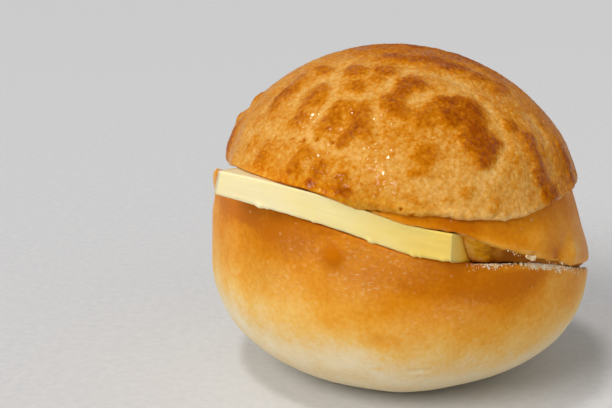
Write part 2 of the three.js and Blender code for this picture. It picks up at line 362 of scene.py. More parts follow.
def wallPoint(z, azimuth):
    r = wallRadius(z, azimuth)
    return np.stack([r * np.cos(azimuth), r * np.sin(azimuth), z * np.ones_like(r)], -1)


def lowerRim(azimuth):  # height where the wall meets the slit, found by going halfway again and again
    z = np.full_like(azimuth, slit["height"])
    for _ in range(60):
        r = wallRadius(z, azimuth)
        z = 0.5 * (z + lowerFace(r * np.cos(azimuth), r * np.sin(azimuth)))
    return z


def butterPlace(along, inward):  # along the butter's front edge and in from it, to x and y
    c, s = math.cos(rad(butter["turn"])), math.sin(rad(butter["turn"]))
    x, y = butter["front"]
    return x + along * c - inward * s, y + along * s + inward * c


def butterFrame(x, y):  # along the front edge, in from it and past the right end
    along, inward = rotated(x - butter["front"][0], y - butter["front"][1], -butter["turn"])
    return along, inward, along - butter["length"] / 2 - butter["skew"] * np.maximum(0, inward)


def butterDistance(x, y):  # in plan
    along, inward, past = butterFrame(x, y)
    aside = np.maximum(0, np.maximum(-along - butter["length"] / 2, past))
    return np.hypot(aside, np.maximum(0, np.maximum(-inward, inward - butter["depth"])))


def butterTall(along):  # thinner by the square of the distance from its thickest place
    half = butter["length"] / 2
    return butter["thickness"] - butter["thinning"] * (np.clip(along, -half, half) - butter["thickest"]) ** 2


def slitGap(x, y, clear=slit["clear"]):  # open over the butter, closing beyond it
    along = butterFrame(x, y)[0]
    close = slit["closeLeft"] + (slit["closeRight"] - slit["closeLeft"]) * eased(-20, 20, along)
    propped = np.maximum(0, 1 - butterDistance(x, y) / close) ** slit["closePower"]
    return slit["seat"] + (butterTall(along) + clear) * propped


def upperFace(x, y, clear=slit["clear"]):
    return slitFace(x, y) + slitGap(x, y, clear)


def domePoint(polar, azimuth, out):
    # superellipsoid with bell-shaped lumps, `out` mm outside it; tipped about Y and X, then lifted
    u = upperHalf
    sinP, cosP, sinA, cosA = np.sin(polar), np.cos(polar), np.sin(azimuth), np.cos(azimuth)
    plan = 1 / np.hypot(cosA / u["radiusX"], sinA / u["radiusY"])
    height = np.where(cosP > 0, u["rise"], u["drop"])
    total = (np.abs(sinP) / plan) ** u["power"] + (np.abs(cosP) / height) ** u["power"]
    r = total ** (-1 / u["power"]) + out
    for a, p, spread, high in u["lumps"]:
        near = np.sin(rad(p)) * sinP * np.cos(azimuth - rad(a)) + np.cos(rad(p)) * cosP
        r = r + high * bell(np.arccos(np.clip(near, -1, 1)), rad(spread))
    x, y, z = r * sinP * cosA, r * sinP * sinA, u["centre"] + r * cosP - u["hinge"]
    x, z = rotated(x, z, -u["leanLeft"])
    y, z = rotated(y, z, -u["leanFront"])
    return np.stack([x, y, z + u["hinge"]], -1) + np.array(u["lift"])


def lipAngle(azimuth, out=0.0, clear=slit["clear"]):
    # polar angle where the dome, or a skin `out` mm outside it, meets the underside; found by halving
    azimuth, out = np.broadcast_arrays(azimuth, out)
    inside, outside = np.full(azimuth.shape, rad(40)), np.full(azimuth.shape, rad(125))
    for _ in range(40):
        middle = (inside + outside) / 2
        p = domePoint(middle, azimuth, out)
        above = p[..., 2] > upperFace(p[..., 0], p[..., 1], clear)
        inside, outside = np.where(above, middle, inside), np.where(above, outside, middle)
    return inside


def crustEdge(azimuth):  # polar angle of the crust's edge
    hang = crust["edgeFront"] * np.cos(azimuth + np.pi / 2) + crust["edgeRight"] * np.cos(azimuth)
    return rad(crust["edge"] + hang + withBells(0, azimuth, crust["sags"]))


def tucked(points, azimuth, fromLip):  # the dome draws in where it sits on the butter's front edge
    middle, spread, depth = upperHalf["tuck"]
    size = depth * bell(fromLip, 4) * around(azimuth, middle, spread)
    inward = np.stack([np.cos(azimuth), np.sin(azimuth), 0 * azimuth + upperHalf["tuckDown"]], -1)
    return points - size[..., None] * inward


def turns(columns):
    return 2 * np.pi * np.arange(columns) / columns


def linear(code):  # an sRGB hex colour as linear red, green, blue and alpha
    channels = [int(code[k:k + 2], 16) / 255 for k in (1, 3, 5)]
    return [c / 12.92 if c <= 0.04045 else ((c + 0.055) / 1.055) ** 2.4 for c in channels] + [1]


def addNode(tree, kind, inputs=None, out=0, **settings):
    # a node with its settings and inputs, each a value or the socket that feeds it; gives one of its outputs
    made = tree.nodes.new("ShaderNode" + kind)
    for key, value in settings.items():
        if key == "stops":  # of a colour ramp: position and colour
            while len(made.color_ramp.elements) < len(value):
                made.color_ramp.elements.new(0.5)
            for element, (position, shade) in zip(made.color_ramp.elements, value):
                element.position = position
                element.color = linear(shade)
        else:
            setattr(made, key, value)
    for key, value in (inputs or {}).items():
        if isinstance(value, bpy.types.NodeSocket):
            tree.links.new(value, made.inputs[key])
        else:
            made.inputs[key].default_value = linear(value) if isinstance(value, str) else value
    return made.outputs[out] if made.outputs else made


def newMaterial(name):  # the material, what adds a node to it, and Object coordinates
    material = bpy.data.materials.new(name)
    material.use_nodes = True
    material.node_tree.nodes.clear()
    node = functools.partial(addNode, material.node_tree)
    return material, node, node("TexCoord", out="Object")


def millimetres(size):  # noise scale for features of that size, in Object coordinates
    return 1000 / size


def breadMaterial():
    # milk bread, washed with egg and baked: smooth skin, cream at the foot and orange-brown above, with a
    # thin shine, tiny pale blisters and smeared butter with a painted sheen round it; where it is cut or
    # torn, matt crumb, with painted shade deep in the slit
    skin = {
        "stops": [(0.0, "#efe2c0"), (0.2, "#ecd3a0"), (0.4, "#ebbd66"), (0.6, "#e6a136"), (0.8, "#da870c"),
                  (1.0, "#c36c00")],
        # the crumb's dark end is painted shade deep in the slit
        "crumb": [(0.0, "#8a4a02"), (0.22, "#d2900e"), (0.45, "#e8b868"), (1.0, "#f5e6c4")],
        "blotch": 8, "fine": 1.1, "blister": 3.0,  # mm
        "smear": (1.2, 0.8),  # length and width in mm
        "pebble": 0.00015, "raised": 0.0002,  # height of the relief in m
    }
    material, node, place = newMaterial("eggWashedMilkBread")
    blotch = node("TexNoise", {"Vector": place, "Scale": millimetres(skin["blotch"]), "Detail": 6.0,
                               "Roughness": 0.65})
    fine = node("TexNoise", {"Vector": place, "Scale": millimetres(skin["fine"]), "Detail": 3.0})
    bake = node("Attribute", out="Fac", attribute_name="bake")
    uneven = node("Math", {0: blotch, 1: 0.5, 2: bake}, operation="MULTIPLY_ADD")
    grainy = node("Math", {0: fine, 1: 0.28, 2: uneven}, operation="MULTIPLY_ADD")
    level = node("Math", {0: grainy, 1: 0.39}, operation="SUBTRACT")
    skinColour = node("ValToRGB", {"Fac": level}, stops=skin["stops"])
    # pale blisters about half a millimetre across, thickest where the blotches are light
    spots = node("TexVoronoi", {"Vector": place, "Scale": millimetres(skin["blister"])})
    spread = node("MapRange", {"Value": blotch, "From Min": 0.4, "From Max": 0.6, "To Min": 0.06,
                               "To Max": 0.19})
    blister = node("MapRange", {"Value": spots, "From Min": 0.02, "From Max": spread, "To Min": 0.42,
                                "To Max": 0.0})
    # smears lie level, so their noise is squeezed in height
    squeezed = node("Mapping", {"Vector": place, "Scale": (1, 1, skin["smear"][0] / skin["smear"][1])})
    strokes = node("TexNoise", {"Vector": squeezed, "Scale": millimetres(skin["smear"][0]), "Detail": 3.0,
                                "Distortion": 0.4})
    smear = node("MapRange", {"Value": strokes, "From Min": 0.54, "From Max": 0.7, "To Min": 0.09,
                              "To Max": 0.5})
    # where butter was smeared, and where the painted sheen lies round it at the front, the skin is paled
    smearAndSheen = node("Attribute", out="Fac", attribute_name="smear")
    smeared = node("Math", {0: smear, 1: smearAndSheen}, operation="MULTIPLY")
    marked = node("Math", {0: blister, 1: smeared}, operation="MAXIMUM")
    specked = node("Mix", {0: marked, 6: skinColour, 7: "#f0cf94"}, 2, data_type="RGBA")
    crumb = node("Attribute", out="Fac", attribute_name="crumb")
    pale = node("Attribute", out="Fac", attribute_name="pale")
    toastAndShade = node("Math", {0: fine, 1: 0.4, 2: pale}, operation="MULTIPLY_ADD")
    crumbColour = node("ValToRGB", {"Fac": toastAndShade}, stops=skin["crumb"])
    colour = node("Mix", {0: crumb, 6: specked, 7: crumbColour}, 2, data_type="RGBA")
    shine = node("MapRange", {"Value": blotch, "From Min": 0.3, "From Max": 0.75, "To Min": 0.42,
                              "To Max": 0.58})
    rough = node("Mix", {0: crumb, 2: shine, 3: 0.85})
    pebble = node("Bump", {"Height": fine, "Strength": 0.5, "Distance": skin["pebble"]})
    raised = node("Bump", {"Height": marked, "Normal": pebble, "Strength": 0.7, "Distance": skin["raised"]})
    shader = node("BsdfPrincipled", {
        "Base Color": colour, "Roughness": rough, "Normal": raised, "IOR": 1.45, "Specular IOR Level": 0.2,
        "Specular Tint": "#ffb45a", "Subsurface Weight": 0.12, "Subsurface Scale": 0.002,
        "Subsurface Radius": (1.0, 0.45, 0.15), "Coat Weight": 0.045, "Coat Roughness": 0.2,
        "Coat Normal": raised})
    node("OutputMaterial", {"Surface": shader})
    return material


bread = breadMaterial()


def tornFace(points):  # pores of soft crumb: round pits, the larger ones deeper, on a lumpy ground
    pore, depth = slit["pore"], slit["poreDepth"]
    coarse = 1 - eased(0.15, 0.55, holes(points, pore * 1.6, 11))
    fine = 1 - eased(0.15, 0.5, holes(points, pore * 0.7, 12))
    return -depth * (0.8 * coarse + 0.45 * fine) + 0.25 * depth * grain(points, pore * 2, 13)


def raggedness(points, size, seed):  # of a torn edge: grain with a finer one on it
    return grain(points, size, seed) + 0.6 * grain(points, 0.9, seed + 1)


def withSpots(ground, azimuth, z, spots, flat=1):
    # adds ovals on the skin of the lower half: bells of the distance over the half width and half height,
    # whose middle is the flatter the higher its power
    for place, height, wide, tall, size in spots:
        across = wrapped(azimuth - rad(place)) * girth
        ground = ground + size * np.exp(-((across / wide) ** 2 + ((z - height) / tall) ** 2) ** flat)
    return ground


def makeLowerHalf():
    # rings from the flat bottom up the wall, round the torn rim and in over the cut face; then the whole skin
    # is moved along its normals by the relief
    h = lowerHalf
    a = turns(h["columns"])
    rim = lowerRim(a)
    rimRadius = wallRadius(rim, a)
    bottom = np.stack([wallPoint(np.zeros_like(a), a) * [share, share, 0] for share in h["bottomRings"]])
    rise = 1 - np.cos(np.pi / 2 * np.arange(h["wallRings"]) / (h["wallRings"] - 1))
    wall = np.stack([wallPoint((rim - 0.9) * t, a) for t in rise])
    face = np.stack([wallPoint(rim, a) * [share, share, 0] for share in faceShares(40)])
    face[..., 2] = lowerFace(face[..., 0], face[..., 1])
    rings = np.concatenate([bottom, wall, cornerRings(wall[-1], wallPoint(rim, a), face[0]), face])
    x, y, z = np.moveaxis(rings, -1, 0)
    azimuth = np.arctan2(y, x)
    level = ringNumber(rings)
    top = len(bottom) + len(wall)
    onFace = (level >= top).astype(float)
    below, inFace = rim - z, rimRadius - np.hypot(x, y)
    apart = butterDistance(x, y)
    # how far a point is into the crumb: 0 on the skin, 1 on the cut face, with a wandering edge
    ragged = raggedness(rings, 2.2, 21)
    front = around(azimuth, *h["tornMost"])
    edge = np.where(level < top, eased(0.8, 0.1, below + 0.5 * ragged) * front, 0)
    deep = level - top + 1.5 * ragged
    crumb = np.clip(np.maximum(onFace * eased(6 - 5 * front, 9 - 5 * front, deep), edge), 0, 1)
    crumb *= 1 - (1 - eased(0.2, 2.2, apart)) * eased(5, 2.5, inFace)  # under the butter the skin is whole
    skin = swells(rings, h["skin"])
    skin = np.where(level < top, withSpots(skin, azimuth, z, h["marks"]), skin)
    tear = slit["tear"] * (0.4 + front - 0.4 * around(azimuth, *h["tornLeast"]))
    lump = tear * np.clip(ragged, -1, 1) * bell(np.maximum(inFace, below), 1.6)
    torn = tornFace(rings) + np.minimum(lump, 0.6 * slitGap(x, y))
    relief = skin * (1 - crumb) + torn * crumb
    # beside the butter the soft crumb sinks in behind the rim
    relief -= h["sink"] * front * eased(0.8, 4, inFace) * eased(0.3, 2.5, apart) * onFace
    relief *= eased(0.0, 2.0, z)  # the bottom stays flat
    moved = rings + normalsOf(rings) * relief[..., None]
    moved[..., 2] += h["meet"] * (1 - eased(0, 0.8, apart)) * onFace
    moved[..., 2] = np.maximum(moved[..., 2], 0)
    # browning rises with height; the line between pale and brown falls from the left to the front right
    paleTop = np.interp(np.degrees(azimuth), h["azimuths"], h["paleTop"])
    brownFrom = np.interp(np.degrees(azimuth), h["azimuths"], h["brownFrom"])
    wander = swells(rings, h["stray"])
    share = np.clip((z + wander - paleTop) / (brownFrom - paleTop), 0, 1)
    foot, wall, top = h["baked"]
    bake = foot + wall * share ** 0.85 + top * eased(0.8, 1.0, share)
    # stains, with the painted shade under the butter and the painted sheen below the front rim
    bake = withSpots(bake * eased(-1, 13, z + 0.5 * wander) ** 0.5, azimuth, z, h["stainsShadeAndSheen"], h["flatTopped"])
    bake = np.where(level < len(bottom) + 6, np.maximum(bake, 0.62 + 0.1 * layered(rings, 6, 42, 2)), bake)
    bake -= 0.25 * front * bell(below, 1.4)  # the skin pales where it is torn
    # the cut face's crumb is painted darker further in from the rim: painted shade inside the slit
    piece = closedPiece("breadBase", moved, bread, {
        "bake": bake, "crumb": crumb, "pale": 0.5 + 0.25 * grain(rings, 3, 43) - 0.5 * eased(0.3, 3, inFace),
        "smear": withSpots(0, azimuth, z, h["smearsAndSheen"], h["flatTopped"])})
    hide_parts("bun_base")
    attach(piece, "root")
    print("Lower half of the bread:", len(piece.data.polygons), "faces")


makeLowerHalf()


def makeUpperHalf():
    # rings out over the cut underside, round the lip, up the bare band and on under the crust to the crown
    u = upperHalf
    a = turns(u["columns"])
    lips = lipAngle(a)
    edges = np.minimum(crustEdge(a), lips - rad(0.9))
    lip, crown = domePoint(lips, a, 0), domePoint(np.zeros(1), np.zeros(1), 0)[0]
    face = crown + (lip - crown) * faceShares(38)[::-1, None, None]
    face[..., 2] = upperFace(face[..., 0], face[..., 1])
    last = u["bandRings"] - 1
    step = (edges - lips + 0.02) * (np.arange(last + 1) / last)[:, None]
    band = domePoint(lips - 0.02 + step, a[None], 0)
    hidden = domePoint(edges * (1 - np.arange(1, 24) / 23.05)[:, None], a[None], 0)
    corner = cornerRings(face[-1], lip, band[0])
    rings = np.concatenate([face, corner, band, hidden])
    x, y = rings[..., 0], rings[..., 1]
    level = ringNumber(rings)
    start, end = len(face), len(face) + len(corner)
    ragged = raggedness(rings, 2.0, 23)
    # mm up from the lip
    above = np.where(level >= end, (level - end) / last * (lips - edges) * u["skinRadius"], 0)
    tears = withBells(0, a, u["tears"])
    crumb = np.where(level >= end, eased(0.45, 0.0, above + 0.4 * ragged) * tears,
                     eased(end + 9 * tears, start - 4, level + 4 * ragged))
    crumb = np.clip(crumb, 0, 1)
    skin = swells(rings, u["skin"])
    polar = np.where(level >= end, lips - above / u["skinRadius"], lips)
    for place, angle, spread, size in u["folds"]:
        near = np.hypot(wrapped(a - rad(place)) * np.sin(polar), polar - rad(angle))
        skin = skin + size * bell(near, rad(spread)) * (level >= start)
    past = butterFrame(x, y)[2]
    relief = skin * (1 - crumb) + np.clip(tornFace(rings), -0.25 - 0.75 * eased(2, 0, past), 0.2) * crumb
    relief = np.where(level > end + last + 3, -0.02, relief)  # under the crust nothing shows
    moved = rings + normalsOf(rings) * relief[..., None]
    moved = tucked(moved, a, above + 0.8 * np.maximum(0, start - level))
    over = 1 - eased(0, 2.5, butterDistance(x, y))
    fromLip = np.where(level < start, length(rings - lip), above)
    moved[..., 2] -= u["sag"] * over * bell(fromLip, 2.5)
    # and right of the butter the halves come together again behind the lip
    hollow = slitGap(x, y) - slit["seat"]
    closing = eased(-0.15, 0.2, past) * (level < start)
    moved[..., 2] -= (hollow + u["shut"]) * eased(0.3, 0.8 + 0.8 * hollow, fromLip) * closing
    bake = u["brown"] + 0.11 * layered(rings, 10, 44, 2) - 0.12 * bell(above, 1.0)
    # darker places of the band, one of them painted shade under the crust's edge
    bake = withBells(bake, a, u["browner"])
    # painted shade in the fold's crease and painted highlight on its flap
    for middle, spread, size, height, tall in u["spots"]:
        bake = bake + size * around(a, middle, spread) * bell(above - height, tall)
    # right of the butter, where the halves close again, the crumb is painted darker: painted shade in the
    # closing slit
    pale = 0.2 + 0.2 * grain(rings, 3, 45) - closing * (0.13 + 0.49 * eased(2.5, 8, past))
    piece = closedPiece("breadTop", moved, bread,
                        {"bake": bake, "crumb": crumb, "pale": pale, "smear": 0 * bake})
    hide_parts("bun_top")
    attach(piece, "root")
    print("Upper half of the bread:", len(piece.data.polygons), "faces")


makeUpperHalf()

browning = {
    # patches of the crust that browned: azimuth, polar angle, half width, half height, turn, strength
    "patches": [
        (-147.5, 43.3, 3.9, 5.5, 0, 0.68), (-176, 50, 2.2, 2.2, 0, 0.4), (-178, 57.5, 2.2, 1.8, 0, 0.3),
        (-170, 62.5, 3, 6, 0, 0.8), (-145.5, 47.5, 2.8, 5.2, 0, 0.55), (-158, 52, 1.6, 3, 0, 0.35),
        (-141.5, 34, 3.8, 2.2, 20, 0.7), (-124, 31.5, 3.8, 2.8, 0, 0.75), (-129, 44.5, 3, 5.6, 0, 0.62),
        (-127.5, 52.3, 3.2, 2.8, 0, 0.6), (-107.5, 29.5, 3.2, 2.2, 20, 0.75), (-110, 33.3, 2.2, 2, 0, 0.6),
        (-115.5, 38, 2.8, 2.1, 20, 0.6), (-116, 46.5, 3.1, 4.1, 0, 0.7), (-116.5, 51.8, 3.2, 3, 0, 0.5),
        (-107.8, 46.5, 2.9, 5, 0, 0.6), (-105.8, 51.5, 3.2, 2.4, 0, 0.6), (-109.3, 54.7, 1.6, 2.9, 0, 0.66),
        (-99, 42, 3.2, 3.7, 0, 0.75), (-94, 44.5, 2.2, 2, 0, 0.5), (-92.5, 33.6, 4.9, 2.8, 0, 0.9),
        (-96.8, 37, 2.8, 3, 0, 0.8), (-83, 42, 2.6, 2.2, 0, 0.75), (-87, 45.5, 2.6, 2.8, 0, 0.6),
        (-74.5, 38.5, 5.2, 2.6, 0, 1.2), (-70, 42, 4.6, 3.8, 0, 1.15), (-76.3, 43.3, 3.7, 3.5, 0, 1.1),
        (-67.3, 49.5, 4.3, 5.8, 0, 1.22), (-68.6, 55.7, 2.4, 2.5, 0, 1.05), (-72.5, 49.5, 2.2, 3.2, 0, 0.6),
        (-85.7, 56, 3, 3.6, 0, 0.6), (-87, 60.6, 2.6, 1.2, 0, 0.45), (-51.5, 44.5, 3.1, 1.9, -20, 0.75),
        (-46, 48, 3, 3, 0, 0.75), (-46.8, 53, 2.6, 3.6, 0, 0.75), (-46, 58, 3, 3.2, 0, 0.95),
        (-42.5, 62, 3.4, 3, 0, 1), (-25, 54.5, 2.5, 7.2, 0, 0.9), (-115, 8, 4, 2.4, 0, 0.6),
        (-105.8, 21, 5.4, 2.4, 0, 0.9), (-93, 21, 4.2, 1.7, 0, 0.75), (-80, 19.5, 4.7, 2.2, 0, 0.8),
        (-66, 22.5, 4.7, 2.2, -10, 0.9), (-52, 26, 4.2, 2.6, -20, 0.9), (-43, 30, 4.2, 3.2, -30, 0.75),
        (-119, 60.3, 3.2, 1.6, 0, 0.5), (-121, 64, 2.2, 2.7, 0, 0.62), (-114.5, 63.8, 2.2, 2.7, 0, 0.58),
        (-115.3, 68.1, 1.7, 1.4, 0, 0.75), (-106.2, 68.3, 2.7, 2.2, 0, 0.8),
        (-106.6, 64.5, 1.9, 1.9, 0, 0.7), (-135, 63, 2.8, 3.4, 0, 0.3), (-142, 61, 2.3, 3.1, 0, 0.4),
        (-78.5, 66.2, 1.3, 1.2, 0, 0.45), (-73.4, 63.6, 2.4, 1.4, 0, 0.35), (-65, 65.8, 2, 1.7, 0, 0.35),
        (-86.3, 68, 1.7, 1, 0, 0.4),
    ],
    # paths of the pale cracks between them, each through a few points
    "cracks": [
        [(-93, 25), (-97, 28), (-100.5, 31.5), (-104, 36), (-108, 39), (-110, 41.5)],
        [(-110, 41), (-105, 41), (-102.5, 45), (-101.3, 49), (-99, 53)],
        [(-110, 41.5), (-114.5, 41.5), (-119.5, 42.5), (-120.6, 45), (-120.6, 49), (-121, 53.5), (-120, 56)],
        [(-99, 26.5), (-93, 25), (-88.5, 27.5), (-79.5, 27.5), (-71.5, 28), (-66, 32)],
        [(-91, 40), (-84, 36.5), (-78, 34.5), (-70, 33), (-64, 33.5), (-60, 37), (-59, 41), (-58.5, 45),
         (-59.5, 51), (-61.5, 55), (-65.5, 58.5)],
        [(-134, 30), (-131.5, 34.5), (-131, 37.5), (-135.5, 38), (-138, 41), (-138.5, 45), (-135, 50)],
        [(-131, 37.5), (-125, 40), (-119.5, 42.5)],
        [(-151, 41), (-152, 47), (-147, 52), (-141, 55), (-136.5, 56.5), (-126, 56.5), (-113, 57.5),
         (-104, 59)],
        [(-36.5, 40), (-34, 45), (-36, 50), (-35.5, 53), (-37, 57)],
    ],
    "crackWidth": 1.7,  # degrees
    "crackPale": 0.14,
    "front": (0, -0.97, 0.24),  # towards here the patches and cracks of the tables lie
    "cells": 64,  # patches of the same kind over the rest of the dome
    "cellsDownTo": 74,  # polar angle
    "high": 0.5,  # mm a patch stands up
    # single swellings of the dough: azimuth, polar angle, spread in degrees, height in mm
    "swellings": [(-176, 49.8, 2.4, 0.6), (-178, 57.2, 2.3, 0.65), (-150, 66, 3, 0.3), (20, 40, 3, 0.5),
                  (95, 55, 4, 0.5)],
    "grit": (1.3, 0.10),  # grain of the sugar dough: size and height in mm
    "bumps": [(0.14, 5.5, 84, 2)],  # swells of the dough: height and size in mm, seed, layers
    "mottle": [(0.09, 5.5, 92, 3), (0.06, 1.8, 93, 2)],  # and of its browning
    "pock": (2.6, 0.12),  # shallow pits: spacing and depth in mm
    "sugar": (2.1, 0.45),  # crumbs on the edge: size and height in mm
    # pinholes: azimuth, polar angle, radius in mm
    "pinholes": [(-126.7, 57.4, 0.5), (-122.7, 57.2, 0.6), (-118.3, 56.2, 0.5), (-112.9, 56.2, 0.5),
                 (-90, 70, 0.4), (-87, 71, 0.45), (-100, 52, 0.3), (60, 50, 0.5), (65, 51, 0.45),
                 (140, 40, 0.5)],
    "pinholeDepth": 0.9,
    "ground": 0.52,  # how brown the dough is between the patches, 0 to 1
    "crown": 0.26,  # browner there by this
    "right": 0.12,
    "frontRight": -0.16,
    "ragged": (-64, 22),  # where the edge is ragged with sugar crumbs: azimuth, spread
    "buttery": (-110, 28, 4.3),  # where butter melted into the edge: azimuth, spread, mm up from it
}


def crackLines(direction):
    # how much of a crack a point is in: a bell of its distance to the nearest chord between the paths' points
    nearest = np.full(direction.shape[:-1], 9.0)
    for path in browning["cracks"]:
        spots = [heading(azimuth, polar) for azimuth, polar in path]
        for start, end in zip(spots, spots[1:]):
            chord = end - start
            t = np.clip((direction - start) @ chord / (chord @ chord), 0, 1)
            nearest = np.minimum(nearest, length(direction - start - t[..., None] * chord))
    return bell(np.degrees(nearest), browning["crackWidth"])


def patches(direction):
    # each patch is a soft-edged ellipse in the plane that touches the dome at its middle; where they overlap
    # what each leaves pale is multiplied
    pale = np.ones(direction.shape[:-1])
    for azimuth, polar, wide, tall, turn, strength in browning["patches"]:
        middle = heading(azimuth, polar)
        east = np.array([-math.sin(rad(azimuth)), math.cos(rad(azimuth)), 0])
        south = np.cross(east, middle) * -1
        x, y = np.degrees(direction @ east), np.degrees(direction @ south)
        x, y = rotated(x, y, turn)
        reach = np.hypot(x / wide, y / tall)
        pale = pale * (1 - strength * (1 - eased(0.5, 1.4, reach)) * (direction @ middle > 0))
    return 1 - pale


def cellPatches(direction, count):
    # points of a jittered sunflower spiral own the cells; a patch fills its cell, with a crack at the border
    goldenAngle = 2.39996
    k = np.arange(count)
    spiral = np.degrees(k * goldenAngle)
    polar = np.degrees(np.arccos(1 - (k + 0.5) / count * (1 - math.cos(rad(browning["cellsDownTo"])))))
    chance = np.random.default_rng(61)
    polar = polar + chance.uniform(-3, 3, count)
    middles = heading(spiral + chance.uniform(-6, 6, count), polar)
    near = direction @ middles.T
    order = np.argsort(-near, axis=-1)[..., :2]
    first = np.take_along_axis(near, order[..., :1], -1)[..., 0]
    second = np.take_along_axis(near, order[..., 1:], -1)[..., 0]
    strength = chance.uniform(0.3, 0.95, count)[order[..., 0]]
    border = np.degrees(np.arccos(np.clip(second, -1, 1)) - np.arccos(np.clip(first, -1, 1)))
    return strength * eased(1, 7, border), bell(border, 1.6) * eased(0.3, 0.6, strength)


def makeCrust():
    # rings out over the underside, round the edge and back up over the outside, whose height is the patches,
    # the grit of the dough and the pinholes
    c, b = crust, browning
    a = turns(c["columns"])
    circle = np.stack([np.cos(a), np.sin(a), 0 * a], -1) * girth
    wander = rad(c["wander"]) * (layered(circle, 9, 71, 3) + 0.6 * grain(circle, 1.6, 74))
    middle, spread, angle = c["pressed"]
    pressed = rad(angle) * around(a, middle, spread)
    middle, spread, share = c["thinner"]
    thin = c["thinning"] + share * around(a, middle, spread)

    def edge(out):  # polar angle; where the slit cuts the crust, its bottom is pressed into the butter
        reach = np.minimum(crustEdge(a) + wander, lipAngle(a, out, c["clear"]))
        return reach - pressed * out / c["thickness"]

    def shell(share, level):  # mm outside the bread
        out = slit["seat"] + level * c["thickness"] * (1 - thin * eased(0.8, 1, share))
        return out * np.ones_like(a)

    q = np.linspace(0.1, 1, 10)[:, None]
    low = edge(shell(1, 0))
    inner = low * np.linspace(0.006, 1, 12)[:, None]
    sideOut = shell(1, np.sin(q * np.pi / 2) ** 0.8)
    side = edge(sideOut) - withBells(1, a, c["rounder"]) * c["round"] / domeRadius * q ** 2.6
    share = np.linspace(1, 0.004, c["rings"])[:, None]
    angles = np.concatenate([inner, side, (side[-1] - 0.006) * share])
    outs = np.concatenate([0 * inner + slit["seat"], sideOut, shell(share, 1)])
    rings = domePoint(angles, a[None], outs)
    polar = np.degrees(angles)
    degrees = np.degrees(a) - 360 * (a > np.pi)
    fromEdge = (low - angles) * domeRadius
    direction = pointing(a, angles)
    seen = eased(0.0, 0.22, direction @ np.array(b["front"]))
    at = direction * domeRadius
    warp = np.stack([layered(at, 6, 51 + k, 4) for k in range(3)], -1)
    bent = direction + 0.022 * warp
    bent /= length(bent)[..., None]
    others, borders = cellPatches(bent, b["cells"])
    brown = seen * patches(bent) + (1 - seen) * others
    crack = seen * crackLines(bent) + (1 - seen) * borders
    size, gritty = b["grit"]
    grit = layered(at, size, 81, 2)
    high = b["high"] * (brown ** 0.8 - 0.5 * crack) + gritty * grit
    high = high + swells(at, b["bumps"])
    for azimuth, angle, spread, size in b["swellings"]:
        high = high + size * bell(length(direction - heading(azimuth, angle)), rad(spread))
    spacing, depth = b["pock"]
    pock = (1 - eased(0.1, 0.34, holes(at, spacing, 86))) * eased(-0.2, 0.4, grain(at, 9, 87))
    high = high - depth * pock
    hole = np.zeros_like(high)
    for azimuth, angle, radius in b["pinholes"]:
        gap = length(direction - heading(azimuth, angle)) * domeRadius
        hole = np.maximum(hole, 1 - eased(0.45 * radius, 1.25 * radius, gap))
    high = high - b["pinholeDepth"] * hole
    crumbly = bell(fromEdge, 1.6) * around(a, *b["ragged"])
    size, proud = b["sugar"]
    high = high + proud * crumbly * layered(at, size, 88, 3)
    high = high * eased(12, 20, ringNumber(rings))
    moved = tucked(rings + normalsOf(rings) * high[..., None], a, fromEdge)
    # the ground is amber, paler low down at the front right, browner at the crown and at the right
    lower = eased(53, 60, polar)
    ground = b["ground"] + b["crown"] * eased(30, 14, polar) + b["right"] * eased(-46, -24, degrees) * seen
    ground = ground + b["frontRight"] * (lower * bell(degrees + 74, 26))
    ground = ground - 0.1 * bell(degrees + 146, 9) * lower
    ground = ground + 0.1 * bell(degrees + 67, 9) * bell(polar - 47, 9)
    bake = ground + swells(at, b["mottle"])
    bake = bake + (0.95 - ground) * brown * (0.85 + 0.25 * layered(at, 2.6, 91, 2))
    bake = bake - b["crackPale"] * crack
    # darker in the pinholes and shallow pits: painted shade in the recesses; paler at the sugar crumbs
    bake = bake + 0.45 * hole + 0.12 * pock * brown + 0.05 * grit - 0.18 * crumbly
    middle, spread, reach = b["buttery"]
    glow = bell(fromEdge, reach) * around(a, middle, spread)
    piece = closedPiece("sugarCrust", moved, crustMaterial(), {"bake": bake, "glow": glow})
    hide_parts("sugar_crust")
    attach(piece, "root")
    print("Sugar crust:", len(piece.data.polygons), "faces")


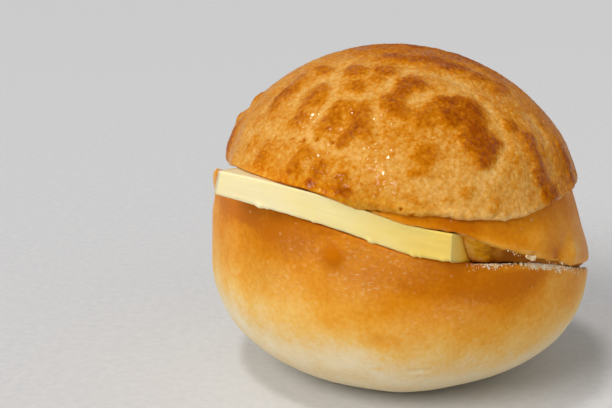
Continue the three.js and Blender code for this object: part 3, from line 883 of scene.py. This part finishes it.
def crustMaterial():
    # sugar cookie dough washed with egg yolk and baked on the bread: gritty and golden, brown where it stood
    # proud, with small glints where the yolk set on the grains
    dough = {
        "stops": [(0.0, "#edc686"), (0.2, "#e6b56a"), (0.4, "#d89c44"), (0.6, "#ca7c10"), (0.8, "#b06000"),
                  (1.0, "#904300")],
        "grit": 0.95, "granule": 1.1, "patchy": 4.5, "clump": 7,  # mm
        "glint": 0.55,  # mm, coarser than the real ones, which would be too fine to show
        "coarse": 0.00025, "bumpy": 0.0002,  # height of the relief in m
        "glaze": 0.5, "slant": 0.27,  # strength of the glints, and how far they tip either way
    }
    material, node, place = newMaterial("bakedSugarDough")
    grit = node("TexNoise", {"Vector": place, "Scale": millimetres(dough["grit"]), "Detail": 2.0,
                             "Roughness": 0.7})
    granule = node("TexVoronoi", {"Vector": place, "Scale": millimetres(dough["granule"])})
    patchy = node("TexNoise", {"Vector": place, "Scale": millimetres(dough["patchy"]), "Detail": 3.0})
    bake = node("Attribute", out="Fac", attribute_name="bake")
    level = node("Math", {0: grit, 1: 0.66, 2: bake}, operation="MULTIPLY_ADD")
    grainy = node("Math", {0: granule, 1: 0.16, 2: level}, operation="MULTIPLY_ADD")
    centred = node("Math", {0: grainy, 1: 0.405}, operation="SUBTRACT")
    colour = node("ValToRGB", {"Fac": centred}, stops=dough["stops"])
    glow = node("Attribute", out="Fac", attribute_name="glow")
    melted = node("Math", {0: glow, 1: 0.92}, operation="MULTIPLY")
    buttery = node("Mix", {0: melted, 6: colour, 7: "#ffe812"}, 2, data_type="RGBA", blend_type="MULTIPLY")
    shine = node("MapRange", {"Value": patchy, "From Min": 0.4, "From Max": 0.62, "To Min": 0.34,
                              "To Max": 0.62})
    coarse = node("Bump", {"Height": grit, "Strength": 0.62, "Distance": dough["coarse"]})
    bumpy = node("Bump", {"Height": granule, "Normal": coarse, "Strength": 0.5, "Distance": dough["bumpy"]},
                 invert=True)
    # the glaze lies on each grain at a slant of its own, so a few of them mirror the lamp
    crystal = node("TexVoronoi", {"Vector": place, "Scale": millimetres(dough["glint"])}, "Color")
    slant = node("VectorMath", {0: crystal, 1: (2 * dough["slant"],) * 3, 2: (-dough["slant"],) * 3},
                 operation="MULTIPLY_ADD")
    clump = node("TexNoise", {"Vector": place, "Scale": millimetres(dough["clump"]), "Detail": 2.0})
    wet = node("MapRange", {"Value": clump, "From Min": 0.42, "From Max": 0.56})
    steep = node("SeparateXYZ", {0: crystal}, 2)
    coated = node("MapRange", {"Value": steep, "From Min": 0.5, "From Max": 0.6, "To Max": dough["glaze"]})
    glaze = node("Math", {0: wet, 1: coated}, operation="MULTIPLY")
    smooth = node("NewGeometry", out="Normal")
    tipped = node("VectorMath", {0: smooth, 1: slant}, operation="ADD")
    facets = node("VectorMath", {0: tipped}, operation="NORMALIZE")
    shader = node("BsdfPrincipled", {
        "Base Color": buttery, "Roughness": shine, "Normal": bumpy, "IOR": 1.47, "Specular IOR Level": 0.1,
        "Specular Tint": "#ffb45a", "Subsurface Weight": 0.1, "Subsurface Scale": 0.0015,
        "Subsurface Radius": (1.0, 0.5, 0.2), "Coat Weight": glaze, "Coat Roughness": 0.08,
        "Coat Normal": facets})
    node("OutputMaterial", {"Surface": shader})
    return material


makeCrust()


def butterMaterial():
    # cold butter cut with a knife: waxy, slightly see-through, paler where the light comes in at the left and
    # a deeper yellow at the right, where it has begun to soften; on the right end face it deepens inwards as
    # painted shade
    block = {
        "stops": [(0.0, "#fbedbe"), (0.35, "#f8e294"), (0.65, "#efcf66"), (1.0, "#f6bc2c")],
        "drag": (9.0, 0.6), "cloud": 7,  # mm
        "tilt": -13,  # of the slice, degrees
        "groove": 0.0001,  # height of the relief in m
    }
    material, node, place = newMaterial("coldButter")
    turned = node("Mapping", {"Vector": place, "Rotation": (0, rad(block["tilt"]), rad(-butter["turn"])),
                              "Scale": (1 / block["drag"][0], 1, 1 / block["drag"][1])})
    drag = node("TexNoise", {"Vector": turned, "Scale": millimetres(1), "Detail": 3.0})
    cloudy = node("TexNoise", {"Vector": place, "Scale": millimetres(block["cloud"]), "Detail": 2.0})
    ripe = node("Attribute", out="Fac", attribute_name="ripe")
    tone = node("Math", {0: cloudy, 1: 0.3, 2: ripe}, operation="MULTIPLY_ADD")
    streaky = node("Math", {0: drag, 1: 0.1, 2: tone}, operation="MULTIPLY_ADD")
    level = node("Math", {0: streaky, 1: 0.19}, operation="SUBTRACT")
    colour = node("ValToRGB", {"Fac": level}, stops=block["stops"])
    lines = node("Bump", {"Height": drag, "Strength": 0.25, "Distance": block["groove"]})
    shader = node("BsdfPrincipled", {
        "Base Color": colour, "Normal": lines, "IOR": 1.46, "Roughness": 0.42, "Subsurface Weight": 0.35,
        "Subsurface Scale": 0.004, "Subsurface Radius": (1.0, 0.75, 0.3)})
    node("OutputMaterial", {"Surface": shader})
    return material


def makeButter():
    # a rounded rectangle carried along the slice; its two cut ends are closed by shrinking the same outline
    b = butter
    depth, tall, c, half = b["depth"], b["thickness"], b["corner"], b["length"] / 2
    inside = np.concatenate([np.linspace(c, 7, 16)[1:], np.linspace(7, depth - c, 22)[1:]])
    bend = rad(np.linspace(0, 90, 6))
    up = np.linspace(c, tall - c, 22)[1:-1]
    sides = [(c - c * np.cos(bend), c - c * np.sin(bend)), (inside[:-1], 0 * inside[:-1]),
             (depth - c + c * np.sin(bend), c - c * np.cos(bend)), (0 * up[::5] + depth, up[::5]),
             (depth - c + c * np.cos(bend), tall - c + c * np.sin(bend)),
             (inside[-2::-1], 0 * inside[-2::-1] + tall),
             (c - c * np.sin(bend), tall - c + c * np.cos(bend)), (0 * up, up[::-1])]
    outline = np.concatenate([np.stack(side, -1) for side in sides])
    size = np.array([depth, tall])
    # one end, from its middle outwards and round the corner: place in from the end, and inset of the outline
    shrink = np.concatenate([[0.01], np.linspace(0.1, 0.8, 8), [0.88, 0.94, 0.975]])
    away = c * (1 - np.sin(rad(np.linspace(15, 90, 5))))
    place = np.concatenate([0 * shrink, away])
    inset = np.concatenate([(1 - shrink)[:, None] * size / 2, (away * 0.4)[:, None] * [1, 1]])
    stations = np.concatenate([-half + place, np.linspace(-half + c, half - c, b["columns"]),
                               (half - place)[::-1]])
    insets = np.concatenate([inset, np.zeros((b["columns"], 2)), inset[::-1]])
    along = stations[:, None] * np.ones(len(outline))
    section = size / 2 + (outline - size / 2) * (1 - 2 * insets / size)[:, None, :]
    inward, high = section[..., 0], section[..., 1]
    high = high * butterTall(along) / tall
    lean = np.where(along < 0, -along * b["lean"][0], along * b["lean"][1]) * 2 / b["length"]
    skew = b["skew"] * inward * np.clip(0.5 + along / b["length"], 0, 1)
    line = np.stack([along, inward, high], -1)
    x, y = butterPlace(along + lean * high + skew, inward)
    rings = np.stack([x, y, slitFace(x, y) + slit["seat"] + high], -1)
    long, short = b["streaks"]
    drag = b["streak"] * (grain(line / long, 1, 101) + 0.6 * grain(line / short, 1, 102))
    smear = 0.10 * eased(12, 20, along) * grain(line / [6, 1, 1.1], 1, 105)
    lower = bell(high, 0.7) * bell(inward, 0.8)
    burr = sum(grow * bell(along - at, spread) for at, spread, grow in b["burrs"])
    rough = 0.10 * np.abs(grain(line, 0.9, 106)) + 0.08 * grain(line, 2.5, 107)
    relief = np.minimum(drag + swells(line, b["waves"]) + smear, 0.2) + lower * (burr + rough)
    moved = rings + normalsOf(rings) * relief[..., None]
    right, near, end = b["deeper"]
    ripe = right * eased(-half, half, along) + near * eased(12, 20, along) + 0.07 * grain(line, 8, 108)
    # on the right end face the yellow deepens inwards: painted shade of the slit
    ripe += end * eased(0, 10, inward) * (along > half - 0.6)
    piece = closedPiece("butterSlice", moved, butterMaterial(), {"ripe": ripe})
    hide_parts("butter_slab")
    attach(piece, "root")
    print("Butter slice:", len(piece.data.polygons), "faces")


makeButter()

looseCrumbs = {
    # clusters on the lower rim: azimuth, spread in degrees, how many, smallest and largest size in mm
    "lower": [(-64.5, 1.3, 45, 0.25, 0.7), (-66, 6, 110, 0.2, 0.42), (-48, 3, 420, 0.25, 0.95),
              (-41, 2.6, 260, 0.25, 0.8), (-33, 3.5, 90, 0.25, 0.6), (20, 30, 90, 0.25, 0.6),
              (90, 30, 90, 0.25, 0.6), (165, 20, 50, 0.25, 0.6)],
    # and on the upper lip
    "upper": [(-50.5, 0.9, 60, 0.3, 0.9), (-56, 1.2, 8, 0.2, 0.45), (-38, 6, 15, 0.2, 0.45)],
    "spread": (0.6, 0.6),  # mm in from the rim and down the outside
    "faces": (8, 5),  # round and up each crumb
}


def crumbMaterial():
    # torn white bread: matt, cream, a little toasted on the outside, soft light shows through
    material, node, place = newMaterial("tornBreadCrumb")
    tint = node("TexNoise", {"Vector": place, "Scale": millimetres(2.0), "Detail": 2.0})
    colour = node("ValToRGB", {"Fac": tint}, stops=[(0.3, "#ecc086"), (0.5, "#f7dbae"), (0.7, "#fdedd2")])
    soft = node("Bump", {"Height": tint, "Strength": 0.4, "Distance": 0.0001})
    shader = node("BsdfPrincipled", {
        "Base Color": colour, "Normal": soft, "IOR": 1.4, "Roughness": 0.85, "Subsurface Weight": 0.2,
        "Subsurface Scale": 0.001, "Subsurface Radius": (1.0, 0.6, 0.3)})
    node("OutputMaterial", {"Surface": shader})
    return material


def makeCrumbs():
    # every crumb is a small ball whose points are pushed in and out, set where the rim is torn
    chance = np.random.default_rng(111)
    columns, rows = looseCrumbs["faces"]
    a = turns(columns)
    p = np.pi * np.arange(1, rows + 1)[:, None] / (rows + 1)
    ball = np.concatenate([pointing(a, p).reshape(-1, 3), [[0, 0, 1], [0, 0, -1]]])
    centres, sizes = [], []
    inside, outside = looseCrumbs["spread"]
    for middle, spread, count, small, large in looseCrumbs["lower"]:
        azimuth = rad(middle + spread * chance.normal(0, 1, count))
        aside = chance.normal(0, 1, count)
        height = lowerRim(azimuth)
        spot = wallPoint(height, azimuth) * [1, 1, 0] * (1 - inside * np.maximum(aside, 0) / girth)[:, None]
        spot[:, 2] = lowerFace(spot[:, 0], spot[:, 1])
        down = wallPoint(height + outside * np.minimum(aside, 0), azimuth)
        spot = np.where(aside[:, None] > 0, spot, down)
        size = chance.uniform(0, 1, count) ** 2 * (large - small) + small
        room = slitGap(spot[:, 0], spot[:, 1])
        size = np.where(aside > 0, np.minimum(size, np.maximum(0.25, 1.3 * room)), size)
        keep = butterDistance(spot[:, 0], spot[:, 1]) > 0.8
        centres.append(spot[keep])
        sizes.append(size[keep])
    for middle, spread, count, small, large in looseCrumbs["upper"]:
        azimuth = rad(middle + spread * chance.normal(0, 1, count))
        size = chance.uniform(0, 1, count) ** 2 * (large - small) + small
        spot = domePoint(lipAngle(azimuth), azimuth, -0.25 * np.ones(count))
        spot[:, 2] += chance.uniform(-0.5, 0.3, count)
        centres.append(spot)
        sizes.append(size)
    centres, sizes = np.concatenate(centres), np.concatenate(sizes)
    count = len(centres)
    shape = 1 + chance.uniform(-0.3, 0.3, (count, len(ball), 1))
    squash = chance.uniform(0.6, 1.1, (count, 1, 3))
    points = centres[:, None] + ball * shape * squash * (sizes / 2)[:, None, None]
    quads, caps = wrapping(rows, columns)
    offset = (np.arange(count) * len(ball))[:, None, None]
    faces = [(quads[:, [0, 3, 2, 1]] + offset).reshape(-1, 4), (caps[:, [0, 2, 1]] + offset).reshape(-1, 3)]
    piece = meshPiece("tornCrumbs", points.reshape(-1, 3), faces, crumbMaterial())
    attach(piece, "root")
    print("Crumbs:", count, "of them,", len(piece.data.polygons), "faces")


makeCrumbs()

studio = {
    "floor": 6.0,  # m across
    "paper": ("#c2c6cc", "#e1e1e3"),
    "world": ("#f4f3f2", 0.36),
    # far lights: azimuth it lights from, height angle, width as an angle, strength and colour
    "far": {"window": (-130, 36, 32, 1.8, "#fffbf6"), "lamp": (-146, 72, 9, 0.88, "#fffcf6")},
    # and a reflector low in front: azimuth, height angle, distance, size in m, power in W, colour
    "reflector": (-48, 18, 1.8, 2.6, 5.5, "#fff4e4"),
    "reflectorAim": (0, 0, 0.04),  # m, what it faces
    "target": (0, 0, 29),  # mm, what the camera circles
    "elevation": 17.5,
    "distance": 300.8,
    "panLeft": 4.961,  # the bun stands right of the middle
    "tiltDown": 15.026,
    "lens": 65,
}


def makeStudio():
    # uncoated paper: matt, a cool pale grey, a little mottled by its fibres
    paper, node, place = newMaterial("palePaper")
    fibre = node("TexNoise", {"Vector": place, "Scale": millimetres(2.5), "Detail": 6.0, "Roughness": 0.7})
    colour = node("Mix", {0: fibre, 6: studio["paper"][0], 7: studio["paper"][1]}, 2, data_type="RGBA")
    shader = node("BsdfPrincipled", {"Base Color": colour, "Roughness": 0.9})
    node("OutputMaterial", {"Surface": shader})
    half = studio["floor"] / 2
    mesh = bpy.data.meshes.new("floor")
    corners = [(-half, -half, 0), (half, -half, 0), (half, half, 0), (-half, half, 0)]
    mesh.from_pydata(corners, [], [(0, 1, 2, 3)])
    mesh.materials.append(paper)
    floor = newObject("floor", mesh)

    world = bpy.data.worlds.new("softRoom")
    world.use_nodes = True
    background = world.node_tree.nodes["Background"].inputs
    background["Color"].default_value = linear(studio["world"][0])
    background["Strength"].default_value = studio["world"][1]
    bpy.context.scene.world = world
    for name, (azimuth, height, width, strength, tint) in studio["far"].items():
        light = bpy.data.lights.new(name, "SUN")
        light.angle, light.energy, light.color = rad(width), strength, linear(tint)[:3]
        newObject(name, light).rotation_euler = (rad(90 - height), 0, rad(azimuth + 90))
    azimuth, height, distance, size, power, tint = studio["reflector"]
    light = bpy.data.lights.new("reflector", "AREA")
    light.shape, light.size, light.energy, light.color = "DISK", size, power, linear(tint)[:3]
    stand = newObject("reflector", light)
    stand.location = shift + np.array(studio["reflectorAim"]) + heading(azimuth, 90 - height) * distance
    stand.rotation_euler = (rad(90 - height), 0, rad(azimuth + 90))

    camera = bpy.data.cameras.new("camera")
    camera.lens, camera.sensor_width = studio["lens"], 36
    camera.clip_start, camera.clip_end = 0.01, 20
    tripod = newObject("camera", camera)
    e = rad(studio["elevation"])
    back = np.array([0, -math.cos(e), math.sin(e)])
    tripod.location = shift + 0.001 * (np.array(studio["target"]) + back * studio["distance"])
    tripod.rotation_euler = (rad(90 - studio["tiltDown"]), 0, rad(studio["panLeft"]))
    bpy.context.scene.camera = tripod
    bpy.context.scene.view_settings.view_transform = "Standard"
    print("Studio: floor, lights and camera")


makeStudio()
